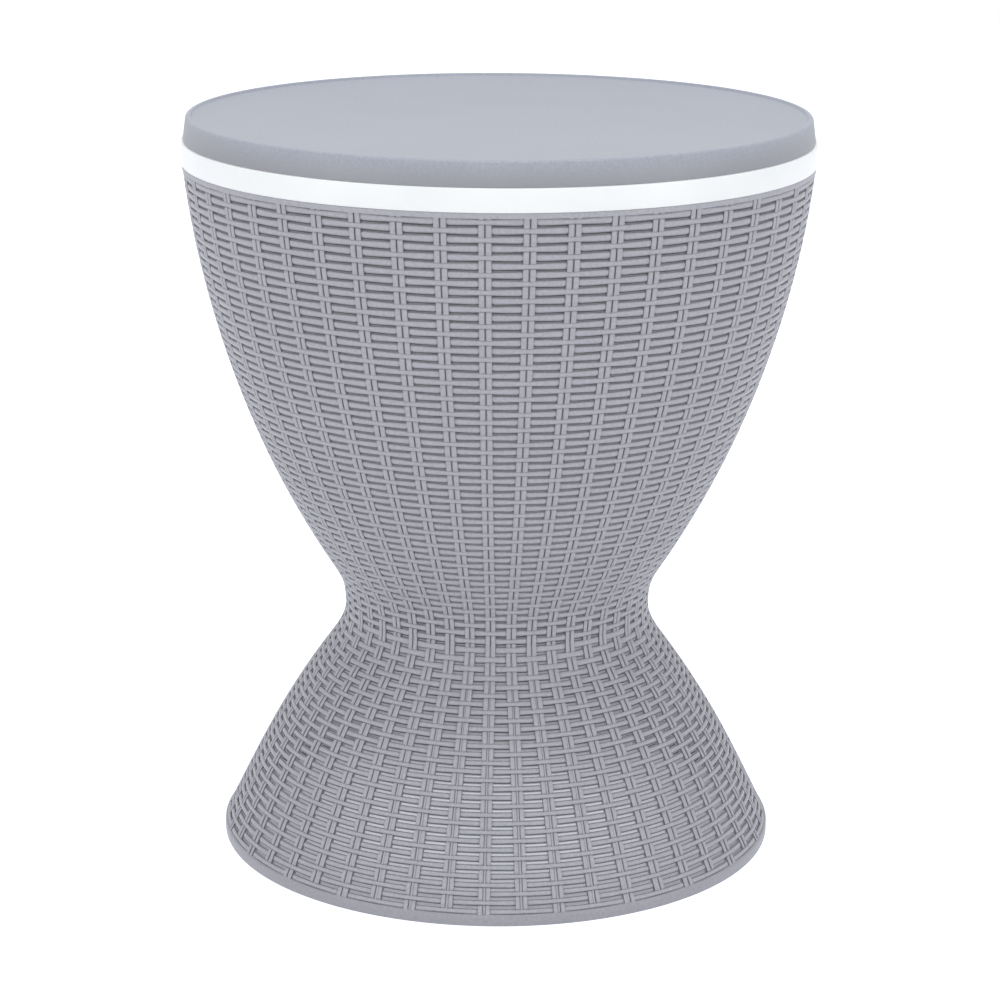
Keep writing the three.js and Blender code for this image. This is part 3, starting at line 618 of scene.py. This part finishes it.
BOWL_LOW, BOWL_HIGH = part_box("bowl_shell")
SKIRT_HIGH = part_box("skirt_shell")[1]
SEAM = (SKIRT_HIGH.z + BOWL_LOW.z) / 2
RIM_TOP = BOWL_HIGH.z
LEDGE_LOW = RIM_TOP - LEDGE_THICKNESS
BOWL_OUTLINE = outline((BOWL_FILLET, BOWL_FLARE), (WAIST_RADIUS, SEAM),
    (RIM_RADIUS - RIM_STRIP_STEP, RIM_TOP - RIM_STRIP))
SKIRT_OUTLINE = outline((SKIRT_FILLET, SKIRT_SIDE), (WAIST_RADIUS, SEAM),
    (BASE_RADIUS - HOOP_STEP, HOOP_HEIGHT))


def bowl_length(row):
    """Length along the bowl's outline, from the seam, of a row or a part of a row."""
    return SEAM_TO_ROW + row * BOWL_PITCH


def skirt_length(row):
    """Length along the skirt's outline, from the hoop. The rows by the waist are a little further apart."""
    below = SKIRT_ROWS - 1 - row
    near = np.minimum(below, WAIST_PITCH_ROWS) * WAIST_PITCH
    far = np.maximum(below - WAIST_PITCH_ROWS, 0) * SKIRT_PITCH
    return SKIRT_OUTLINE[0][-1] - SEAM_TO_ROW - near - far


def at_height(table, height):
    """Reads a table of heights in metres and values there."""
    return np.interp(height, *zip(*table))


def wrapped(piece, line, length_of, first_row=None):
    """Lays flat weave on the table's outline. Strands, which have a first row, are drawn one row wide and get
    their own width here."""
    along, points, normals = line
    flat = np.empty(len(piece.data.vertices) * 3)
    piece.data.vertices.foreach_get("co", flat)
    x, y, z = flat.reshape(-1, 3).T
    if first_row is not None:
        row = first_row + 2 * np.round((y - first_row) / 2)
        row_height = np.interp(length_of(row), along, points[:, 1])
        widths = np.where(z > EPSILON - STEP_DEPTH,
            at_height(STRAND_WIDTHS, row_height), at_height(LATTICE_WIDTHS, row_height))
        y = row + (y - row) * widths
    length = length_of(y)
    radius, height = (np.interp(length, along, points[:, i]) for i in (0, 1))
    out, up = (np.interp(length, along, normals[:, i]) for i in (0, 1))
    column = np.round(x)
    side = x - column
    stake_half = at_height(STAKE_HALF_WIDTHS, height) * MM
    column_half = radius * COLUMN_ANGLE / 2
    beyond = (np.abs(side) - STAKE_ZONE) / (0.5 - STAKE_ZONE)
    groove = at_height(GROOVE_WIDTHS, height)
    share = np.abs(side) / STAKE_ZONE
    share = np.where(share < GROOVE, share * groove / GROOVE,
        groove + (share - GROOVE) * (1 - groove) / (1 - GROOVE))
    across = np.where(beyond < 0, share * stake_half, stake_half + beyond * (column_half - stake_half))
    angle = FIRST_COLUMN + column * COLUMN_ANGLE + np.sign(side) * across / radius
    far = radius + out * z
    placed = np.column_stack([far * np.sin(angle), -far * np.cos(angle), height + up * z])
    piece.data.vertices.foreach_set("co", placed.ravel())
    piece.data.update()
    return closed(piece)


# Weave


def strand_section():
    """Half round in front, with a step back to the lattice that carries it. Its width is in rows."""
    right = ((0.16, 0), (0.4, -0.35 * MM), (0.5, -1.1 * MM), (0.5, FOOT - STEP_DEPTH), (0.5, -STEP_DEPTH),
        (0.5, -WALL))
    left = [(-y, z) for y, z in reversed(right)]
    return [(0, y, z) for y, z in [*right, *left]]


# Painted shade and painted light on a section's points: over and under the strand, and at its back
BOWL_PAINTED_SHADE = (0, 0, 0, 0.25, 0.7, 0, 0, 0.9, 1, 1, 0.35, 0)
SKIRT_PAINTED_SHADE = (0, 0, 0.2, 0.8, 0.2, 0, 0, 0.2, 1, 0.8, 0.15, 0)
BOWL_PAINTED_LIGHT = (0, 0, 0, 0.1, 0, 1, 1, 0, 0, 0, 0, 0)
SKIRT_PAINTED_LIGHT = (0, 0, 0, 0, 0.9, 1, 1, 0.9, 0, 0, 0, 0)


def there_and_back(shape):
    """A shape that is given from 0 to 1, carried on from 1 to just under 2."""
    return [*shape, *((2 - offset, *rest) for offset, *rest in reversed(shape[1:-1]))]


def in_front(place, along, offset):
    """Whether a point lies in front of the lattice, and at an offset along a shape that repeats every two."""
    return place.z > EPSILON - STEP_DEPTH and abs(abs(along - 2 * round(along / 2)) - offset) < NEAR


def strand(name, shape, edges, painted_lights):
    """One strand round the whole table, over the even pairs of stakes and under the odd ones."""
    places = [column + station[0] for column in range(0, COLUMNS, 2) for station in there_and_back(shape)]
    piece = drawn(name, strand_section(), [((x, 0, 0), 1) for x in [*places, COLUMNS]], False)
    # Painted shade and painted light on the strand's points
    marked(piece, "edge", edges)
    marked(piece, "back", painted_lights)
    for offset, width, height in shape:
        reshaped(piece, lambda place: in_front(place, place.x, offset), (1, width, height),
            (0, 0, -STEP_DEPTH))
    return piece


def stake_section():
    """The outline of a pair of stakes, seen from above: two crests with a groove between them."""
    crest = (1 + GROOVE) / 2
    right = [
        (GROOVE * 0.5, -GROOVE_DEPTH),
        (GROOVE * 0.9, -GROOVE_DEPTH),
        (GROOVE, -0.9 * MM),
        (GROOVE + 0.07, -0.22 * MM),
        (crest, 0),
        (0.95, -0.22 * MM),
        (1, -0.8 * MM),
        (1, -WALL),
    ]
    left = [(-x, z) for x, z in reversed(right)]
    return [(x * STAKE_ZONE, 0, z) for x, z in [*right, *left]]


# Painted shade and painted light for one half of a pair of stakes, from the groove outwards
BOWL_STAKE_PAINTED_SHADE = (0.6, 0.7, 0.7, 0, 0, 0, 0.8, 0)
SKIRT_STAKE_PAINTED_SHADE = (0, 0.9, 0.6, 0, 0, 0, 0.8, 0)
STAKE_PAINTED_LIGHT = (0.2, 0, 0, 0, 0, 0, 0, 1)


def mirrored(values):
    return (*values, *reversed(values))


def stake_pair(name, edges, rows, low, high, first):
    """A pair of stakes from the low to the high end, which are parts of a row outside the first and last.
    Strands cover it in every other row from the first."""
    places = [row + station[0] for row in range(first - 2, rows + 1, 2)
        for station in there_and_back(STAKE_SHAPE)]
    top = rows - 1 + high
    places = [low, *(y for y in places if low + NEAR < y < top - NEAR), top]
    piece = drawn(name, stake_section(), [((0, y, 0), 1) for y in places], True)
    # Painted shade in the groove and on the sides, and painted light at the back and a little in the groove
    marked(piece, "edge", mirrored(edges))
    marked(piece, "back", mirrored(STAKE_PAINTED_LIGHT))
    inside = STAKE_ZONE * GROOVE * 0.95  # between the floor of the groove and its side
    centre = STAKE_ZONE * (1 + GROOVE) / 2
    for side in (-1, 1):
        for offset, width, height in STAKE_SHAPE:
            reshaped(piece,
                lambda place: place.x * side > inside and in_front(place, place.y - first, offset),
                (width, 1, height), (side * centre, 0, -STEP_DEPTH))
    return piece


def weave(name, line, length_of, rows, strand_look, stake_painted_shade, ends):
    """The strands and stakes of one moulding, in two sets of each: even and odd."""
    made = []
    for start, parity in enumerate(("even", "odd")):
        ring = strand(f"{name}_strands_{parity}", *strand_look)
        repeated(ring, (rows - start + 1) // 2, (0, 2, 0))
        move(ring, (start, start, 0))
        pair = stake_pair(f"{name}_stakes_{parity}", stake_painted_shade, rows, *ends, start)
        closed(pair)
        repeated(pair, COLUMNS // 2, (2, 0, 0))
        move(pair, (start, 0, 0))
        made += [wrapped(ring, line, length_of, start), wrapped(pair, line, length_of)]
    for piece in made:
        smooth(piece, WEAVE_SHARP_ANGLE)
    return made


def move(piece, shift):
    edit(piece)
    bpy.ops.transform.translate(value=shift)
    leave_edit()


for piece in weave("bowl", BOWL_OUTLINE, bowl_length, BOWL_ROWS, (BOWL_STRAND, BOWL_PAINTED_SHADE, BOWL_PAINTED_LIGHT),
        BOWL_STAKE_PAINTED_SHADE, (-(SEAM_TO_ROW - SEAM_GAP) / BOWL_PITCH, OVER_LAST_ROW)):
    finished(piece, "woven_resin", "stand", "bowl_shell")
for piece in weave("skirt", SKIRT_OUTLINE, skirt_length, SKIRT_ROWS, (SKIRT_STRAND, SKIRT_PAINTED_SHADE, SKIRT_PAINTED_LIGHT),
        SKIRT_STAKE_PAINTED_SHADE, (-UNDER_FIRST_ROW, (SEAM_TO_ROW - SEAM_GAP) / WAIST_PITCH)):
    finished(piece, "woven_resin", "stand", "skirt_shell")


# Plain parts of the two mouldings


def ring_profile(inner, outer, low, high):
    return [(outer, low), (outer, high), (inner, high), (inner, low), (outer, low)]


def rim_strip():
    """The plain strip over the weave, with the ledge that carries the bucket."""
    piece = turned("bowl_rim", ring_profile(LEDGE_INNER, RIM_RADIUS, LEDGE_LOW, RIM_TOP))
    softened(piece)
    finished(piece, "woven_resin", "stand", "bowl_shell")


def rim_bosses():
    """The round bosses under the ledge that the screws of the rim go into."""
    profile = [(BOSS_FOOT_RADIUS, -BOSS_LENGTH), (BOSS_RADIUS, 0)]
    for node in sorted(node for node in frame["nodes"] if node.startswith("rim_screw_")):
        low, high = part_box(node)
        piece = turned(node.replace("screw", "boss"), profile, True, BOSS_SIDES)
        piece.location = ((low.x + high.x) / 2, (low.y + high.y) / 2, LEDGE_LOW)
        softened(settled(piece, piece.name), BOSS_EDGE)
        finished(piece, "woven_resin", "stand", "bowl_shell")


def waist_flange(name, low, high, node):
    piece = turned(name, ring_profile(FLANGE_INNER, FLANGE_OUTER, low, high))
    softened(piece)
    finished(piece, "woven_resin", "stand", node)


def hoop():
    """The plain band on the floor."""
    inner = BASE_RADIUS - HOOP_THICKNESS
    piece = turned("skirt_hoop", [
        (BASE_RADIUS, 0),
        (BASE_RADIUS, HOOP_HEIGHT - HOOP_STEP),
        (BASE_RADIUS - HOOP_STEP, HOOP_HEIGHT),
        (inner, HOOP_HEIGHT),
        (inner, 0),
        (BASE_RADIUS, 0),
    ])
    softened(piece)
    # Painted shade: the whole hoop a little darker
    marked(piece, "edge", (HOOP_SHADE,))
    finished(piece, "woven_resin", "stand", "skirt_shell")


rim_strip()
rim_bosses()
waist_flange("bowl_waist_flange", BOWL_LOW.z, BOWL_LOW.z + FLANGE_THICKNESS, "bowl_shell")
waist_flange("skirt_waist_flange", SKIRT_HIGH.z - FLANGE_THICKNESS, SKIRT_HIGH.z, "skirt_shell")
hoop()


# Light ring and lid


def light_ring():
    low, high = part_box("light_ring")
    radius = high.x
    piece = turned("light_ring_band", [
        (radius, low.z),
        (radius, high.z),
        (RING_INNER, high.z),
        (RING_INNER, high.z - RING_TOP),
        (radius - RING_WALL, high.z - RING_TOP),
        (radius - RING_WALL, low.z),
        (radius, low.z),
    ])
    softened(piece, SHOWN_EDGE, SHOWN_EDGE_SEGMENTS)
    finished(piece, "light_diffuser", "stand", "light_ring")


def lid():
    """The table top: a flat floor inside a raised lip, and a side that flares a little downwards."""
    low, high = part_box("lid_top")
    top_radius = high.x - LID_FLARE
    lip_inner = top_radius - LIP_WIDTH
    floor = high.z - LIP_HEIGHT
    piece = turned("lid_top_shell", [
        (lip_inner, floor),
        (lip_inner + LIP_LEAN, high.z),
        (top_radius - LIP_EDGE, high.z),
        (top_radius - 0.3 * LIP_EDGE, high.z - 0.3 * LIP_EDGE),
        (top_radius + LIP_BULGE, high.z - LIP_EDGE),
        (high.x, low.z),
        (high.x - LID_WALL, low.z),
        (top_radius - LID_WALL - LIP_LEAN, floor - LID_WALL),
    ], True)
    softened(piece, SHOWN_EDGE, SHOWN_EDGE_SEGMENTS)
    # Painted shade: the lid's side darker towards its foot
    height = high.z - low.z
    shades = (LID_SHADE * (high.z - point.co.z) / height for point in piece.data.vertices)
    marked(piece, "edge", [min(max(shade, 0), 1) for shade in shades])
    finished(piece, "lid_resin", "lid", "lid_top")


light_ring()
lid()


# Pieces whose CAD shape is right: merged, with softened edges


def dressed(node, slot):
    piece = copied(frame["nodes"][node], node + "_dressed")
    body = piece["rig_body"]
    piece.parent = None
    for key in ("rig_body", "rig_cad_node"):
        del piece[key]
    closed(piece)
    edit(piece)
    bpy.ops.mesh.dissolve_limited(angle_limit=FLAT_ANGLE)
    leave_edit()
    softened(piece, DRESSED_EDGE)
    finished(piece, slot, body, node)


for node, slot in {
    "waist_hub": "plain_resin",
    "guide_tube": "plain_resin",
    "top_bush": "dark_resin",
    "ice_bucket": "bucket_resin",
    "drain_seal": "seal_rubber",
    "drain_plug": "dark_resin",
    "led_carrier": "white_resin",
    "battery_box": "plain_resin",
    "battery_door": "plain_resin",
    "switch_body": "dark_resin",
    "switch_button": "seal_rubber",
    "contact_left": "contact_metal",
    "contact_right": "contact_metal",
    "led_strip": "led_strip",
    "led_lead": "seal_rubber",
    "lid_insulation": "lid_foam",
    "post_pin": "screw_steel",
    "lid_base": "lid_resin",
    "lift_post": "plain_resin",
    "post_cap": "dark_resin",
    "glide_shoe": "dark_resin",
    "post_flange": "plain_resin",
}.items():
    dressed(node, slot)


# Screws and battery cells


def cut(piece, size, centre):
    """Takes a block out of the piece."""
    bpy.ops.object.select_all(action="DESELECT")
    bpy.ops.mesh.primitive_cube_add(size=1, location=centre)
    block = bpy.context.object
    block.scale = size
    settled(block, "cutter")
    modified(piece, "BOOLEAN", object=block, operation="DIFFERENCE", solver="EXACT")
    bpy.data.objects.remove(block)


def screw(name, length):
    """A screw with a thread, which points up from the underside of its domed head with a cross recess."""
    profile = [(radius, -share * SCREW_HEAD) for radius, share in SCREW_DOME]
    profile.append((SCREW_CORE, 0))
    for height in np.arange(THREAD_START, length - TIP_LENGTH, THREAD_PITCH):
        profile += [(SCREW_CREST, height), (SCREW_CORE, height + THREAD_PITCH / 2)]
    piece = turned(name, [*profile, (SCREW_TIP, length)], True, SCREW_SIDES)
    for size in ((RECESS_LENGTH, RECESS_WIDTH), (RECESS_WIDTH, RECESS_LENGTH)):
        cut(piece, (*size, 2 * RECESS_DEPTH), (0, 0, -SCREW_HEAD))
    smooth(piece)
    return piece


def add_screws():
    """The screws of the rim have their heads up and the others have them down. Each is turned another way."""
    for number, node in enumerate(sorted(node for node in frame["nodes"] if "_screw_" in node)):
        low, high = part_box(node)
        down = node.startswith("rim")
        piece = screw(node + "_threaded", high.z - low.z - SCREW_HEAD)
        seat = high.z - SCREW_HEAD if down else low.z + SCREW_HEAD
        piece.location = ((low.x + high.x) / 2, (low.y + high.y) / 2, seat)
        piece.rotation_euler = (math.pi if down else 0, 0, number)
        finished(settled(piece, piece.name), "screw_steel", frame["nodes"][node]["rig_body"], node)


def battery_cell(node, turn):
    """A cell with rolled shoulders and the nub of its plus end."""
    low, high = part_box(node)
    radius, end = (high.z - low.z) / 2, (high.x - low.x) / 2
    shoulder = end - NUB_HEIGHT
    piece = turned(node + "_sleeved", [
        *((radius - inset * MM, up * MM - end) for inset, up in CELL_FOOT),
        *((radius - inset * MM, shoulder - down * MM) for inset, down in CELL_SHOULDER),
        *((nub_radius * MM, end - down * MM) for nub_radius, down in CELL_NUB),
    ], True, CELL_SIDES)
    smooth(piece)
    piece.rotation_euler = (0, turn, 0)
    piece.location = (low + high) / 2
    finished(settled(piece, piece.name), "cell_wrap", frame["nodes"][node]["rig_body"], node)


add_screws()
for number in range(1, 4):
    battery_cell(f"battery_cell_{number}", math.pi / 2 if number % 2 else -math.pi / 2)


# Camera, floor and lights


def add_camera():
    data = bpy.data.cameras.new("camera")
    data.lens = CAMERA_LENS
    data.sensor_width = SENSOR
    camera = bpy.data.objects.new("camera", data)
    bpy.context.scene.collection.objects.link(camera)
    camera.matrix_world = (Matrix.Translation(CAMERA_PLACE) @ Matrix.Rotation(-CAMERA_YAW, 4, "Z")
        @ Matrix.Rotation(math.pi / 2 - CAMERA_PITCH, 4, "X") @ Matrix.Rotation(CAMERA_ROLL, 4, "Z"))
    bpy.context.scene.camera = camera


def seen_white(nodes, plain, white):
    """Mixes in plain white where the camera or a reflection sees the surface, and not in its own light."""
    path = nodes.node("ShaderNodeLightPath")
    camera, gloss, clear = (path.outputs[f"Is {ray} Ray"] for ray in ("Camera", "Glossy", "Transmission"))
    seen = Number(nodes, camera).or_larger(gloss).or_larger(clear)
    return nodes.node("ShaderNodeMixShader", None, {0: seen, 1: plain, 2: white}).outputs[0]


def add_floor():
    """A white floor, with a glow that is less under the table, as a painted shadow."""
    bpy.ops.object.select_all(action="DESELECT")
    bpy.ops.mesh.primitive_plane_add(size=FLOOR_SIZE, location=(0, 0, -FLOOR_DROP))
    floor = settled(bpy.context.object, "floor")
    finish = Finish("floor_white", 0.9)
    finish.give("Base Color", FLOOR_COLOUR)
    distance = finish.node("ShaderNodeVectorMath", {"operation": "LENGTH"}, {0: finish.place})
    stops = [(place, (*(level * part for part in FLOOR_TINT), 1)) for place, level in FLOOR_GLOW]
    colours = finish.node("ShaderNodeValToRGB", {"stops": stops}, {"Fac": distance.outputs["Value"]})
    glow = finish.node("ShaderNodeEmission", None, {"Color": colours.outputs["Color"]})
    plain = finish.shader.outputs[0]
    both = finish.node("ShaderNodeAddShader", None, {0: plain, 1: glow.outputs[0]})
    surface = seen_white(finish, plain, both.outputs[0])
    finish.feed(finish.tree.nodes["Material Output"].inputs["Surface"], surface)
    floor.data.materials.append(finish.material)


def add_world():
    world = bpy.data.worlds.new("studio")
    bpy.context.scene.world = world
    world.use_nodes = True
    nodes = Nodes(world.node_tree)
    plain = nodes.tree.nodes["Background"]
    nodes.feed(plain.inputs["Color"], WORLD_COLOUR)
    nodes.feed(plain.inputs["Strength"], WORLD_STRENGTH)
    white = nodes.node("ShaderNodeBackground", None, {"Color": (*WHITE, 1), "Strength": 1})
    surface = seen_white(nodes, plain.outputs[0], white.outputs[0])
    nodes.feed(nodes.tree.nodes["World Output"].inputs["Surface"], surface)


def add_softbox(name, place, size, power, colour):
    """A square soft lamp that faces the middle of the table."""
    data = bpy.data.lights.new(name, "AREA")
    data.shape = "SQUARE"
    data.size = size
    data.energy = power
    data.color = colour
    lamp = bpy.data.objects.new(name, data)
    bpy.context.scene.collection.objects.link(lamp)
    lamp.location = place
    aim = Vector(LAMP_AIM) - Vector(place)
    lamp.rotation_euler = aim.to_track_quat("-Z", "Y").to_euler()


add_camera()
add_floor()
add_world()
for name, settings in SOFTBOXES.items():
    add_softbox(name, *settings)
bpy.context.scene.view_settings.view_transform = "Standard"
